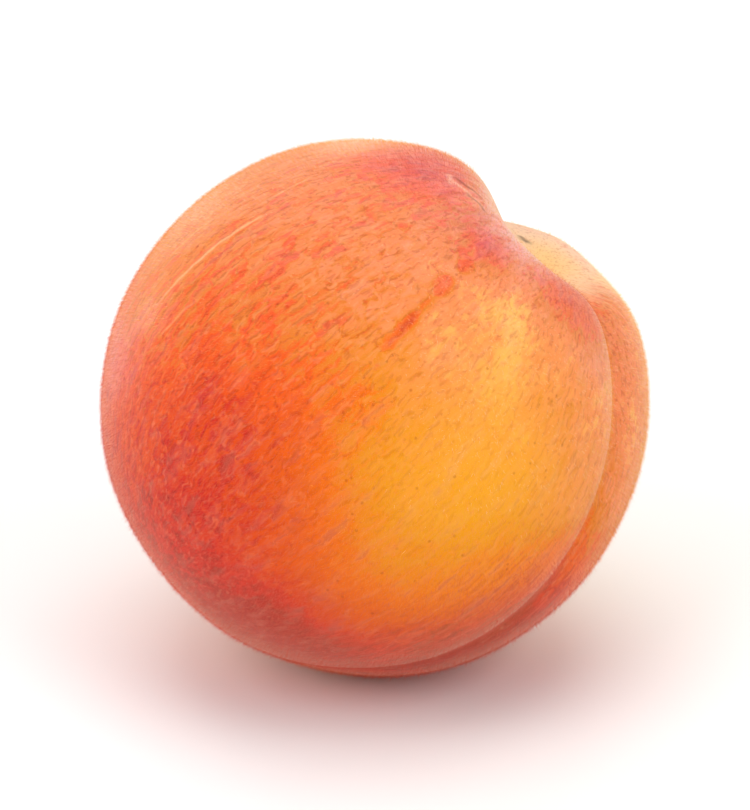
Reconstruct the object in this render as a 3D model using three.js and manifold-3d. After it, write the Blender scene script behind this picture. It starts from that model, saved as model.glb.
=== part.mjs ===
// A ripe peach lying on a small flat spot, modelled as one solid.
//
// Row frame: millimetres, +Z up, origin at the centre of the flat spot that it rests on. The stem end
// leans over towards +X, and the suture runs from it down the right-hand side, seen from the front (-Y).
// Fruit frame: the stem axis is +Z, the suture lies in the +X half of the XZ plane, and the fruit's two
// cheeks are on its -Y and +Y sides.

import * as THREE from "three";
import { mergeVertices } from "three/addons/utils/BufferGeometryUtils.js";
import Module from "manifold-3d";

const wasm = await Module();
wasm.setup();

const { degToRad, radToDeg } = THREE.MathUtils;

// Body: an ellipsoid, a little uneven, as a fruit grows.
const HALF_WIDTH = 36; // from the stem axis out to a cheek
const HALF_HEIGHT = 36.4; // along the stem axis, before the stem cavity is sunk
const TIP_FULLNESS = 0.02; // the half towards the tip is wider than the other by this share
const BACK_CHEEK_FULLNESS = 0.04; // the +Y cheek stands further out by this share, the other less
const BACK_SHOULDER_FULLNESS = 0.02; // and its shoulder by this share more
const FRONT_SWELLING = { height: 0.47, fromStem: 63, around: -133, radius: 32.5 };

// Suture: the crease that runs down one side from the stem cavity to the tip.
const SUTURE_DEPTH = 1.1; // along the middle of the fruit
const SUTURE_EXTRA_DEPTH_AT_STEM = 3.2;
const SUTURE_STEM_REACH = 57; // degrees from the stem end over which the extra depth fades
const SUTURE_WALL = 3.9; // how far each wall runs back from the crease
const SUTURE_ROUNDING = 0.5; // how softly the two walls meet at the bottom
const SUTURE_START = 17; // degrees from the stem end over which the crease comes in
const SUTURE_END = 46; // and from the tip over which it runs out
const SUTURE_SIDE_FADE = 0.7; // the crease is full where the cosine of the angle around is over this

// Stem cavity: the hollow that the stalk grew in, wider to the sides and open towards the back.
const CAVITY_DEPTH = 7.6;
const CAVITY_RADIUS_TO_SUTURE = 8.5;
const CAVITY_RADIUS_TO_BACK = 10.6;
const CAVITY_RADIUS_TO_CHEEKS = 11.8;
const CAVITY_WALL_POWER = 2.3; // higher gives a flatter floor and a steeper wall
const CAVITY_SPOUT = { widening: 1.1, around: 149, spread: 29 };
const CAVITY_SADDLE = { height: -3.45, fromStem: 41, around: 155, radius: 22 };

// Stem scar: the ring left on the cavity's floor by the stalk, with a small pit in the middle.
const SCAR_RING = { height: 0.35, radius: 1.9, width: 0.5 };
const SCAR_PIT = { depth: 0.8, radius: 0.9 };

// Blossom end: a low beak in a shallow dimple.
const TIP_DIMPLE = { depth: 0.7, radius: 9 };
const TIP_BEAK = { height: 1.0, radius: 2.8 };

// How it lies, in degrees, and the flat spot that its own weight presses.
const LEAN = 47.4; // of the stem axis from upright, towards +X
const HEADING = 10.4; // of that lean, towards +Y
const TWIST = -43.6; // about the stem axis, before it leans
const REST_DEPTH = 0.42; // of fruit flattened at the lowest point
const FLATNESS = 1e-4; // how near the flat spot's plane a vertex has to be to count as on it

// Mesh: meridians are closest at the suture, and rings are closest at the scar and the cavity's wall.
const MERIDIANS = 92;
const SUTURE_CROWDING = 0.5; // spacing at the suture, as a share of the even spacing
const RING_BANDS = [
  { upTo: 5, rings: 7 }, // scar
  { upTo: 34, rings: 14 }, // cavity wall and rim
  { upTo: 62, rings: 7 }, // shoulders
  { upTo: 166, rings: 15 }, // cheeks
  { upTo: 180, rings: 5 }, // tip
];

const bell = (distance, radius) => Math.exp(-((distance / radius) ** 2));

// A unit vector in the fruit frame, from angles in degrees from the stem end and around from the suture.
function direction(fromStem, around) {
  return new THREE.Vector3().setFromSphericalCoords(1, degToRad(fromStem), degToRad(around + 90))
    .applyAxisAngle(new THREE.Vector3(1, 0, 0), Math.PI / 2);
}

// Angle between the unit vector `way` and the stem end, in degrees.
function angleFromStem(way) {
  return radToDeg(Math.acos(THREE.MathUtils.clamp(way.z, -1, 1)));
}

// Height, at the unit vector `way`, of a smooth swelling (or, below zero, a hollow) on the body.
function swelling(way, { height, fromStem, around, radius }) {
  const chord = way.distanceTo(direction(fromStem, around));
  return height * bell(chord, degToRad(radius));
}

// Distance from the fruit's centre to the body's surface, without suture, cavity or tip.
function bodyRadius(way) {
  const fromAxis = Math.hypot(way.x, way.y);
  const ellipsoid = 1 / Math.hypot(fromAxis / HALF_WIDTH, way.z / HALF_HEIGHT);
  const unevenness = 1 - TIP_FULLNESS * way.z * fromAxis ** 2;
  const cheeks = 1 + BACK_CHEEK_FULLNESS * way.y + BACK_SHOULDER_FULLNESS * way.y * way.z;
  return ellipsoid * unevenness * cheeks + swelling(way, FRONT_SWELLING) + swelling(way, CAVITY_SADDLE);
}

// Depth of the suture's crease at `way`, whose point on the body is `sideways` from the suture's plane.
function sutureDepth(way, sideways) {
  const fromStem = angleFromStem(way);
  const along = SUTURE_DEPTH + SUTURE_EXTRA_DEPTH_AT_STEM * bell(fromStem, SUTURE_STEM_REACH);
  const side = THREE.MathUtils.smoothstep(Math.cos(Math.atan2(way.y, way.x)), 0, SUTURE_SIDE_FADE);
  const start = Math.min(1, Math.hypot(way.x, way.y) / Math.sin(degToRad(SUTURE_START)));
  const end = Math.min(1, (180 - fromStem) / SUTURE_END);
  const fromCrease = Math.hypot(sideways, SUTURE_ROUNDING) - SUTURE_ROUNDING;
  return along * side * start * end * Math.exp(-fromCrease / SUTURE_WALL);
}

// Depth of the stem cavity at a point x, y off the stem axis.
function cavityDepth(x, y) {
  const alongSuture = x / (x > 0 ? CAVITY_RADIUS_TO_SUTURE : CAVITY_RADIUS_TO_BACK);
  const across = y / CAVITY_RADIUS_TO_CHEEKS;
  const offSpout = THREE.MathUtils.euclideanModulo(
    radToDeg(Math.atan2(y, x)) - CAVITY_SPOUT.around + 180, 360) - 180;
  const spout = 1 + CAVITY_SPOUT.widening * bell(offSpout, CAVITY_SPOUT.spread);
  return CAVITY_DEPTH * Math.exp(-((Math.hypot(alongSuture, across) / spout) ** CAVITY_WALL_POWER));
}

// Height of the scar's ring above the cavity's floor, less its pit.
function scarHeight(fromAxis) {
  const ring = SCAR_RING.height * bell(fromAxis - SCAR_RING.radius, SCAR_RING.width);
  return ring - SCAR_PIT.depth * bell(fromAxis, SCAR_PIT.radius);
}

// How far the blossom end stands out, at a distance from the axis.
function tipHeight(fromAxis) {
  const beak = TIP_BEAK.height * bell(fromAxis, TIP_BEAK.radius);
  return beak - TIP_DIMPLE.depth * bell(fromAxis, TIP_DIMPLE.radius);
}

// The skin's point in the direction of the unit vector `way`.
function skinPoint(way) {
  const body = bodyRadius(way);
  const point = way.clone().multiplyScalar(body - sutureDepth(way, body * way.y));
  const fromAxis = Math.hypot(point.x, point.y);
  if (way.z > 0) {
    point.z += scarHeight(fromAxis) - cavityDepth(point.x, point.y);
  } else {
    point.z -= tipHeight(fromAxis);
  }
  return point;
}

// Angle from the stem end of each ring of vertices, the two poles included, in degrees.
function ringAngles() {
  const angles = [0];
  for (const { upTo, rings } of RING_BANDS) {
    const from = angles.at(-1);
    for (let ring = 1; ring <= rings; ring += 1) {
      angles.push(from + ((upTo - from) * ring) / rings);
    }
  }
  return angles;
}

// Angle around from the suture of the meridian that would be at `even` degrees with even spacing.
function meridianAngle(even) {
  return even * (SUTURE_CROWDING + (1 - SUTURE_CROWDING) * (even / 180) ** 2);
}

// The whole skin in the fruit frame: a sphere whose vertices are moved out to the skin.
function fruitGeometry() {
  const rings = ringAngles();
  const geometry = new THREE.SphereGeometry(1, MERIDIANS, rings.length - 1).rotateX(Math.PI / 2);
  const positions = geometry.attributes.position;
  const ringSpacing = 180 / (rings.length - 1);
  const vertex = new THREE.Vector3();
  for (let index = 0; index < positions.count; index += 1) {
    vertex.fromBufferAttribute(positions, index);
    const ring = Math.round(angleFromStem(vertex) / ringSpacing);
    const around = meridianAngle(radToDeg(Math.atan2(vertex.y, vertex.x)));
    const point = skinPoint(direction(rings[ring], around));
    positions.setXYZ(index, point.x, point.y, point.z);
  }
  geometry.deleteAttribute("normal");
  geometry.deleteAttribute("uv");
  return mergeVertices(geometry);
}

// Turns the fruit from its own frame to how it lies.
function lieDown(geometry) {
  return geometry.rotateZ(degToRad(TWIST)).rotateY(degToRad(LEAN)).rotateZ(degToRad(HEADING));
}

// Cuts the flat spot, and moves the fruit so that the spot's centre is the origin.
function flattenUnderside(geometry) {
  geometry.computeBoundingBox();
  const restHeight = geometry.boundingBox.min.z + REST_DEPTH;
  const whole = new wasm.Manifold(new wasm.Mesh({
    numProp: 3,
    vertProperties: new Float32Array(geometry.attributes.position.array),
    triVerts: new Uint32Array(geometry.index.array),
  }));
  const cut = whole.trimByPlane([0, 0, 1], restHeight).getMesh();
  const flattened = new THREE.BufferGeometry();
  flattened.setAttribute("position", new THREE.BufferAttribute(new Float32Array(cut.vertProperties), 3));
  flattened.setIndex(Array.from(cut.triVerts));
  const spot = new THREE.Box3();
  const vertex = new THREE.Vector3();
  for (let index = 0; index < flattened.attributes.position.count; index += 1) {
    vertex.fromBufferAttribute(flattened.attributes.position, index);
    if (vertex.z < restHeight + FLATNESS) {
      spot.expandByPoint(vertex);
    }
  }
  const centre = spot.getCenter(new THREE.Vector3());
  flattened.translate(-centre.x, -centre.y, -restHeight);
  flattened.computeVertexNormals();
  return flattened;
}

const skin = new THREE.MeshStandardMaterial({ name: "skin", color: "#f0874a", roughness: 0.8, metalness: 0 });

const peach = new THREE.Mesh(flattenUnderside(lieDown(fruitGeometry())), skin);
peach.name = "peach";

const object = new THREE.Group();
object.name = "whole_peach";
object.add(peach);

export default object;
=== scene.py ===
"""A ripe, downy peach lying on its own flat spot, on a pale studio floor.

Everything is in metres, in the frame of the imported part: +Z is up, and the origin is the middle of the
flat spot that the fruit rests on. The fruit frame is the peach's own: the stem axis is +Z, the suture
lies in the +X half of the XZ plane, and the two cheeks are on the -Y and +Y sides. A place on the fruit
is given by two angles in degrees, from the stem end and around from the suture.
"""

from __future__ import annotations

import logging
import math
from collections.abc import Mapping
from dataclasses import dataclass, field
from enum import Enum

import bpy
import numpy as np
from mathutils import Matrix, Vector

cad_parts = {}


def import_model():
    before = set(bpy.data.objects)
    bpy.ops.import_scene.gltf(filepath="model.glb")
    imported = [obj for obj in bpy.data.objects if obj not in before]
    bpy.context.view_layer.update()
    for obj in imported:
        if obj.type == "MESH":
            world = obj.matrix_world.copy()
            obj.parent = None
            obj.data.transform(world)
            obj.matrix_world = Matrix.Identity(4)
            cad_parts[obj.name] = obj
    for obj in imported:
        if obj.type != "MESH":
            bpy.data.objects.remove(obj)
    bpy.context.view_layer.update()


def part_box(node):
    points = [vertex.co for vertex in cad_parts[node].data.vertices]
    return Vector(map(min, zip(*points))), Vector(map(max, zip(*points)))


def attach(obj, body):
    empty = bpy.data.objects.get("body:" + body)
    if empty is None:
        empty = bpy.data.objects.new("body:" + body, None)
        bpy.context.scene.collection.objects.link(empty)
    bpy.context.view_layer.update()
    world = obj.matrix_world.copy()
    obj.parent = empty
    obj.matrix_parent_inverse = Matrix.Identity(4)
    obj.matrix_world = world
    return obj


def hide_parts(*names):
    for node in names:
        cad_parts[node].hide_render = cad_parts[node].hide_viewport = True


log = logging.getLogger("peach")

Array = np.ndarray
MM = 0.001
BODY = "root"
NODE = "peach"
NOISE_MIDDLE = 0.5  # which Blender's noise has on average


# ---------------------------------------------------------------------------------------------------
# Shapes shared by the fruit's parts
# ---------------------------------------------------------------------------------------------------


def direction(from_stem: float | Array, around: float | Array) -> Array:
    """Unit vectors of the fruit frame, from angles in degrees from the stem end and around it."""
    tilt, turn = np.broadcast_arrays(np.radians(from_stem), np.radians(around))
    return np.stack([np.sin(tilt) * np.cos(turn), np.sin(tilt) * np.sin(turn), np.cos(tilt)], axis=-1)


def angle_from_stem(ways: Array) -> Array:
    """Angles between unit vectors of the fruit frame and the stem end, in degrees."""
    return np.degrees(np.arccos(np.clip(ways[..., 2], -1, 1)))


def angle_around(ways: Array) -> Array:
    """Angles of unit vectors around the stem axis from the suture, in radians."""
    return np.arctan2(ways[..., 1], ways[..., 0])


def off_axis(points: Array) -> Array:
    """How far points of the fruit frame are from the stem axis."""
    return np.hypot(points[..., 0], points[..., 1])


def bell(distance: Array, radius: float) -> Array:
    """A smooth bump of height one that has faded to about a third at the radius."""
    return np.exp(-((distance / radius) ** 2))


def smooth_step(value: Array, low: float, high: float) -> Array:
    """Rises smoothly from zero at the low value to one at the high one."""
    share = np.clip((value - low) / (high - low), 0, 1)
    return share * share * (3 - 2 * share)


def unit(vectors: Array) -> Array:
    """The same directions at length one."""
    return vectors / np.linalg.norm(vectors, axis=-1, keepdims=True)


def flattened(vectors: Array, normals: Array) -> Array:
    """The same directions turned down into the planes across the normals, at length one."""
    return unit(vectors - normals * np.sum(vectors * normals, axis=-1, keepdims=True))


class Unevenness:
    """Smooth noise in three dimensions, the same for a seed on every run."""

    TABLE = 256

    def __init__(self, seed: int) -> None:
        """Draws the noise's table of slopes.

        Args:
            seed: The same number gives the same noise.
        """
        draw = np.random.default_rng(seed)
        self.order = np.tile(draw.permutation(self.TABLE), 3)
        self.slopes = unit(draw.normal(size=(self.TABLE, 3)))

    def at(self, points: Array, wavelength: float) -> Array:
        """Works out the noise at some points.

        Args:
            points: Coordinates, on the last axis.
            wavelength: The distance over which the noise goes up and down, in the points' unit.

        Returns:
            One value for each point, mostly between -0.6 and 0.6.
        """
        scaled = points / wavelength
        cell = np.floor(scaled).astype(int)
        inside = scaled - cell
        ease = inside**3 * (inside * (inside * 6 - 15) + 10)
        noise = np.zeros(points.shape[:-1])
        for corner in np.ndindex(2, 2, 2):
            at = (cell + corner) % self.TABLE
            drawn = self.order[self.order[self.order[at[..., 0]] + at[..., 1]] + at[..., 2]]
            weight = np.prod(np.where(corner, ease, 1 - ease), axis=-1)
            noise += weight * np.sum(self.slopes[drawn] * (inside - corner), axis=-1)
        return noise


@dataclass(frozen=True)
class Swelling:
    """A smooth rise on the body, or a hollow where its height is below zero."""

    height: float
    from_stem: float
    around: float
    radius: float  # degrees

    def at(self, ways: Array) -> Array:
        """Its height in the directions given, in metres."""
        chord = np.linalg.norm(ways - direction(self.from_stem, self.around), axis=-1)
        return self.height * bell(chord, math.radians(self.radius))


@dataclass(frozen=True)
class Suture:
    """The crease that runs down one side, from the stem cavity to the tip."""

    depth: float = 1.1 * MM  # along the middle of the fruit
    extra_depth_at_stem: float = 3.2 * MM
    stem_reach: float = 57.0  # degrees from the stem end over which the extra depth fades
    wall: float = 3.9 * MM  # how far each wall runs back from the crease
    rounding: float = 0.5 * MM  # how softly the two walls meet at the bottom
    start: float = 17.0  # degrees from the stem end over which the crease comes in
    end: float = 46.0  # and from the tip over which it runs out
    side_fade: float = 0.7  # full where the cosine of the angle around is over this

    def depth_at(self, ways: Array, sideways: Array) -> Array:
        """Works out how deep the crease is.

        Args:
            ways: Directions from the fruit's centre.
            sideways: How far each body point is from the suture's plane, in metres.

        Returns:
            The depth below the body, in metres.
        """
        from_stem = angle_from_stem(ways)
        along = self.depth + self.extra_depth_at_stem * bell(from_stem, self.stem_reach)
        side = smooth_step(np.cos(angle_around(ways)), 0, self.side_fade)
        start = np.minimum(1, off_axis(ways) / math.sin(math.radians(self.start)))
        end = np.minimum(1, (180 - from_stem) / self.end)
        return along * side * start * end * self.nearness(sideways, self.wall)

    def nearness(self, sideways: Array, reach: float) -> Array:
        """One in the crease, fading to either side of it over the reach, in metres."""
        return np.exp(-(np.hypot(sideways, self.rounding) - self.rounding) / reach)


@dataclass(frozen=True)
class StemCavity:
    """The hollow that the stalk grew in, wider to the sides and open towards the back."""

    depth: float = 7.6 * MM
    radius_to_suture: float = 8.5 * MM
    radius_to_back: float = 10.6 * MM
    radius_to_cheeks: float = 11.8 * MM
    wall_power: float = 2.3  # higher gives a flatter floor and a steeper wall
    spout_widening: float = 1.1
    spout_around: float = 149.0
    spout_spread: float = 29.0
    saddle: Swelling = Swelling(-3.45 * MM, 41.0, 155.0, 22.0)

    def share_at(self, x: Array, y: Array) -> Array:
        """Works out how far down the hollow a point off the stem axis is.

        Args:
            x: The point's coordinate towards the suture, in metres.
            y: Its coordinate towards the back cheek, in metres.

        Returns:
            The share of the hollow's depth, from zero outside to one on its floor.
        """
        along = x / np.where(x > 0, self.radius_to_suture, self.radius_to_back)
        across = y / self.radius_to_cheeks
        off_spout = (np.degrees(np.arctan2(y, x)) - self.spout_around + 180) % 360 - 180
        spout = 1 + self.spout_widening * bell(off_spout, self.spout_spread)
        return np.exp(-((np.hypot(along, across) / spout) ** self.wall_power))


@dataclass(frozen=True)
class StemScar:
    """The ring left on the cavity's floor by the stalk, with a small pit in the middle."""

    ring_height: float = 0.35 * MM
    ring_radius: float = 1.9 * MM
    ring_width: float = 0.5 * MM
    pit_depth: float = 0.8 * MM
    pit_radius: float = 0.9 * MM

    def height_at(self, from_axis: Array) -> Array:
        """Height above the cavity's floor at a distance from the stem axis."""
        ring = self.ring_height * bell(from_axis - self.ring_radius, self.ring_width)
        return ring - self.pit_depth * bell(from_axis, self.pit_radius)


@dataclass(frozen=True)
class BlossomTip:
    """The blossom end: a low beak in a shallow dimple."""

    beak_height: float = 1.0 * MM
    beak_radius: float = 2.8 * MM
    dimple_depth: float = 0.7 * MM
    dimple_radius: float = 9.0 * MM

    def height_at(self, from_axis: Array) -> Array:
        """How far the blossom end stands out at a distance from the stem axis."""
        beak = self.beak_height * bell(from_axis, self.beak_radius)
        return beak - self.dimple_depth * bell(from_axis, self.dimple_radius)


@dataclass(frozen=True)
class PeachForm:
    """The peach's main form, which is that of the solid it stands for."""

    half_width: float = 36.0 * MM  # from the stem axis out to a cheek
    half_height: float = 36.4 * MM  # along the stem axis, before the cavity is sunk
    tip_fullness: float = 0.02
    back_cheek_fullness: float = 0.04
    back_shoulder_fullness: float = 0.02
    front_swelling: Swelling = Swelling(0.47 * MM, 63.0, -133.0, 32.5)
    suture: Suture = Suture()
    cavity: StemCavity = StemCavity()
    scar: StemScar = StemScar()
    tip: BlossomTip = BlossomTip()

    def body_radius(self, ways: Array) -> Array:
        """Works out the size of the body, without suture, cavity or tip.

        Args:
            ways: Directions from the fruit's centre.

        Returns:
            The distance from the centre to the body in each direction, in metres.
        """
        from_axis = off_axis(ways)
        ellipsoid = 1 / np.hypot(from_axis / self.half_width, ways[..., 2] / self.half_height)
        unevenness = 1 - self.tip_fullness * ways[..., 2] * from_axis**2
        to_back = ways[..., 1] * (self.back_cheek_fullness + self.back_shoulder_fullness * ways[..., 2])
        swellings = self.front_swelling.at(ways) + self.cavity.saddle.at(ways)
        return ellipsoid * unevenness * (1 + to_back) + swellings

    def points(self, ways: Array) -> Array:
        """Works out where the skin is, with its suture, cavity, scar and tip.

        Args:
            ways: Directions from the fruit's centre.

        Returns:
            A point in each direction, in the fruit frame and in metres.
        """
        body = self.body_radius(ways)
        skin = ways * (body - self.suture.depth_at(ways, body * ways[..., 1]))[..., None]
        from_axis = off_axis(skin)
        hollow = self.cavity.share_at(skin[..., 0], skin[..., 1])
        stem_end = self.scar.height_at(from_axis) - self.cavity.depth * hollow
        skin[..., 2] += np.where(ways[..., 2] > 0, stem_end, -self.tip.height_at(from_axis))
        return skin

    def hollow_at(self, ways: Array, fruit: Array) -> Array:
        """How far down the stem cavity points of the fruit frame are, from zero to one."""
        return self.cavity.share_at(fruit[..., 0], fruit[..., 1]) * (ways[..., 2] > 0)


@dataclass(frozen=True)
class Lie:
    """How the fruit lies: its turn about the stem axis, its lean and the lean's heading, in degrees."""

    twist: float = -43.6
    lean: float = 47.4  # of the stem end from upright, towards +X
    heading: float = 10.4  # of that lean, towards +Y
    press: float = 0.05 * MM  # how softly the cheek turns into the flat spot

    @property
    def turn(self) -> Array:
        """How the fruit is turned as it lies.

        Returns:
            The rotation from the fruit frame to the part's frame.
        """
        about_stem = Matrix.Rotation(math.radians(self.twist), 3, "Z")
        over = Matrix.Rotation(math.radians(self.lean), 3, "Y")
        towards = Matrix.Rotation(math.radians(self.heading), 3, "Z")
        return np.array(towards @ over @ about_stem)

    def shift(self, points: Array) -> Array:
        """Works out how far the turned fruit is from where it lies.

        Args:
            points: The fruit's points, turned but still round its own centre.

        Returns:
            The move that brings them into the solid's own box, against its top.
        """
        low, high = (np.array(corner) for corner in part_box(NODE))
        axes = tuple(range(points.ndim - 1))
        least, most = points.min(axes), points.max(axes)
        middle = (low + high) / 2 - (least + most) / 2
        return np.array([middle[0], middle[1], high[2] - most[2]])

    def pressed(self, points: Array) -> Array:
        """Presses the flat spot.

        Args:
            points: The fruit's points in the part's frame.

        Returns:
            The points, with those below the floor brought up onto it.
        """
        height = points[..., 2]
        flat = (height + np.hypot(height, self.press)) / 2
        return np.concatenate([points[..., :2], flat[..., None]], axis=-1)


@dataclass(frozen=True)
class SkinRelief:
    """The fine unevenness of the skin: dents, lumps, wrinkles at the stem end and fibres on the scar."""

    seed: int = 11
    dents: tuple[float, float] = (17.0 * MM, 0.26 * MM)  # how far apart they are, and how deep
    lumps: tuple[float, float] = (6.0 * MM, 0.07 * MM)
    grain: tuple[float, float] = (2.2 * MM, 0.022 * MM)
    wrinkles_around: float = 8.0  # more makes the wrinkles round the cavity closer
    wrinkle_length: float = 9.0 * MM
    wrinkle_depth: float = 0.13 * MM
    wrinkle_width: float = 0.16
    cavity_share: float = 0.4  # of the depth, in the cavity
    cavity_begins: tuple[float, float] = (3.5 * MM, 7.0 * MM)  # off the stem axis, outside the scar
    cavity_ends: tuple[float, float] = (11.0 * MM, 21.0 * MM)
    lip: Swelling = Swelling(0.95, 30.0, -106.0, 13.0)  # where the cavity's lip is most wrinkled
    pucker_length: float = 2.4 * MM
    pucker_depth: float = 0.05 * MM
    pucker_reach: float = 3.0 * MM
    pucker_stretch: float = 0.5  # of its place across the suture, which makes puckers longer that way
    fibres_around: float = 4.5
    fibre_depth: float = 0.12 * MM
    fibre_fade: tuple[float, float] = (1.89 * MM, 2.7 * MM)  # off the stem axis

    def wrinkles_at(self, form: PeachForm, ways: Array, points: Array) -> Array:
        """Works out where the skin is wrinkled round the stem end.

        Args:
            form: The main form.
            ways: Directions from the fruit's centre.
            points: The form's points in those directions, in the fruit frame.

        Returns:
            How deep in a wrinkle each point is, from zero to about one.
        """
        along = np.radians(angle_from_stem(ways)) * form.half_width / self.wrinkle_length
        spokes = self.spokes(ways, self.wrinkles_around, along)
        folds = bell(Unevenness(self.seed).at(spokes, 1.0), self.wrinkle_width)
        from_axis = off_axis(points)
        band = smooth_step(from_axis, *self.cavity_begins) * (1 - smooth_step(from_axis, *self.cavity_ends))
        return folds * (self.cavity_share * band * (ways[..., 2] > 0) + self.lip.at(ways))

    @staticmethod
    def spokes(ways: Array, count: float, along: Array) -> Array:
        """Places for noise that runs out like spokes, closer with a higher count, so far along each."""
        turn = angle_around(ways)
        return np.stack([np.cos(turn) * count, np.sin(turn) * count, along], axis=-1)

    def height_at(self, form: PeachForm, ways: Array, points: Array) -> Array:
        """Works out how far the skin stands out from its main form, wrinkles left out.

        Args:
            form: The main form.
            ways: Directions from the fruit's centre.
            points: The form's points in those directions, in the fruit frame.

        Returns:
            Heights along the skin's normals, in metres.
        """
        noise = Unevenness(self.seed)
        from_axis = off_axis(points)
        height = sum(noise.at(points, apart) * deep for apart, deep in (self.dents, self.lumps, self.grain))
        sideways = form.body_radius(ways) * ways[..., 1]
        near = form.suture.nearness(sideways, self.pucker_reach) * (ways[..., 0] > 0)
        stretched = points * np.array([1.0, self.pucker_stretch, 1.0])
        puckers = bell(noise.at(stretched, self.pucker_length), self.wrinkle_width)
        height -= self.pucker_depth * near * puckers
        fibres = noise.at(self.spokes(ways, self.fibres_around, from_axis / MM), 1.0)
        on_scar = (ways[..., 2] > 0) * (1 - smooth_step(from_axis, *self.fibre_fade))
        return height + self.fibre_depth * on_scar * fibres


# ---------------------------------------------------------------------------------------------------
# Shader expressions
# ---------------------------------------------------------------------------------------------------

Colour = tuple[float, float, float, float]

# The curve from a screen's values to linear ones: straight up to the bend, and a power above it.
CURVE_BEND, CURVE_SLOPE, CURVE_OFFSET, CURVE_POWER = 0.04045, 12.92, 0.055, 2.4
BRIGHTEST = 255


def colour(code: str) -> Colour:
    """Turns a colour written as six hexadecimal digits into Blender's linear one.

    Args:
        code: The digits, two each for red, green and blue as a screen shows them.

    Returns:
        The same colour for a shader socket, with its alpha.
    """
    shares = np.array([int(code[at : at + 2], 16) for at in (0, 2, 4)]) / BRIGHTEST
    power = ((shares + CURVE_OFFSET) / (1 + CURVE_OFFSET)) ** CURVE_POWER
    linear = np.where(shares > CURVE_BEND, power, shares / CURVE_SLOPE)
    return (*linear.tolist(), 1.0)


class Value:
    """What comes out of a shader socket. Sums written with it add Math nodes."""

    def __init__(self, shader: Shader, socket: bpy.types.NodeSocket) -> None:
        """Wraps one output socket of a node in the shader."""
        self.shader = shader
        self.socket = socket

    def math(self, operation: str, *terms: Value | float) -> Value:
        """Adds a Math node of that operation on the terms."""
        return self.shader.node("ShaderNodeMath", {"operation": operation}, dict(enumerate(terms)))

    def __add__(self, other: Value | float) -> Value:
        """self + other."""
        return self.math("ADD", self, other)

    def __radd__(self, other: float) -> Value:
        """other + self."""
        return self.math("ADD", other, self)

    def __sub__(self, other: Value | float) -> Value:
        """self - other."""
        return self.math("SUBTRACT", self, other)

    def __rsub__(self, other: float) -> Value:
        """other - self."""
        return self.math("SUBTRACT", other, self)

    def __mul__(self, other: Value | float) -> Value:
        """self * other."""
        return self.math("MULTIPLY", self, other)

    def __rmul__(self, other: float) -> Value:
        """other * self."""
        return self.math("MULTIPLY", other, self)

    def exp(self) -> Value:
        """e to the power of self."""
        return self.math("EXPONENT", self)

    def at_least(self, least: float) -> Value:
        """self, or the least where self is below it."""
        return self.math("MAXIMUM", self, least)

    def clipped(self) -> Value:
        """self held between zero and one."""
        return self.math("MINIMUM", self.math("MAXIMUM", self, 0.0), 1.0)

    def dot(self, way: Array) -> Value:
        """The dot product of self, a vector, and a fixed one."""
        return self.shader.vector("DOT_PRODUCT", self, tuple(map(float, way)), output="Value")

    def step(self, low: float, high: float) -> Value:
        """Rises smoothly from zero where self is low to one where it is high, or falls if low is more."""
        sockets = {"Value": self, "From Min": low, "From Max": high}
        return self.shader.node("ShaderNodeMapRange", {"interpolation_type": "SMOOTHSTEP"}, sockets)


Given = Value | float | tuple[float, ...]


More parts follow.
